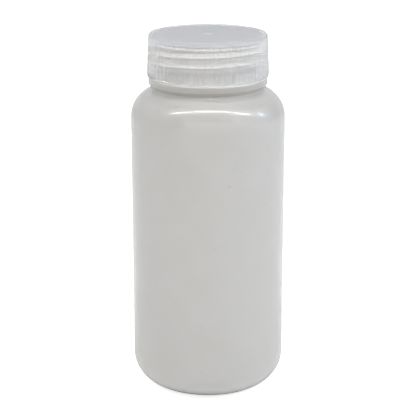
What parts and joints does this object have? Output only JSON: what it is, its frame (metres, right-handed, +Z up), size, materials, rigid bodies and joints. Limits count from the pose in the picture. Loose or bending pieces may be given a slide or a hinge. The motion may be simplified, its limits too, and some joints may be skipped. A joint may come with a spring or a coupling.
{
  "type": "wide-mouth reagent bottle",
  "caption": "Round translucent plastic bottle with a wide threaded neck, a ribbed screw cap that turns and lifts off, and a sealing disc.",
  "frame": {"origin": "centre of the foot ring, on the surface that the bottle stands on", "axes": "+Z up along the bottle's axis, towards the cap; +X at the start of the neck thread"},
  "size_m": [0.07, 0.07, 0.165],
  "materials": {
    "bottle_plastic": "blown natural polyethylene: milky, translucent, soft gloss",
    "cap_plastic": "moulded natural polypropylene: clearer and glossier than the bottle",
    "disc_plastic": "natural polyethylene sheet, matte"
  },
  "bodies": {
    "bottle_body": {"bottle": "bottle_plastic"},
    "disc_body": {"sealing_disc": "disc_plastic"},
    "cap_body": {"screw_cap": "cap_plastic"}
  },
  "joints": [
    {"name": "cap_lift", "type": "slide", "parent": "bottle_body", "child": "disc_body", "axis": [0, 0, 1], "range_m": [0, 0.0265]},
    {"name": "cap_turn", "type": "hinge", "parent": "disc_body", "child": "cap_body", "pos_m": [0, 0, 0.1632], "axis": [0, 0, 1], "range_deg": [0, 2160]}
  ],
  "couplings": [
    {"joint": "cap_lift", "follows": "cap_turn", "m_per_rad": 0.00070028}
  ]
}
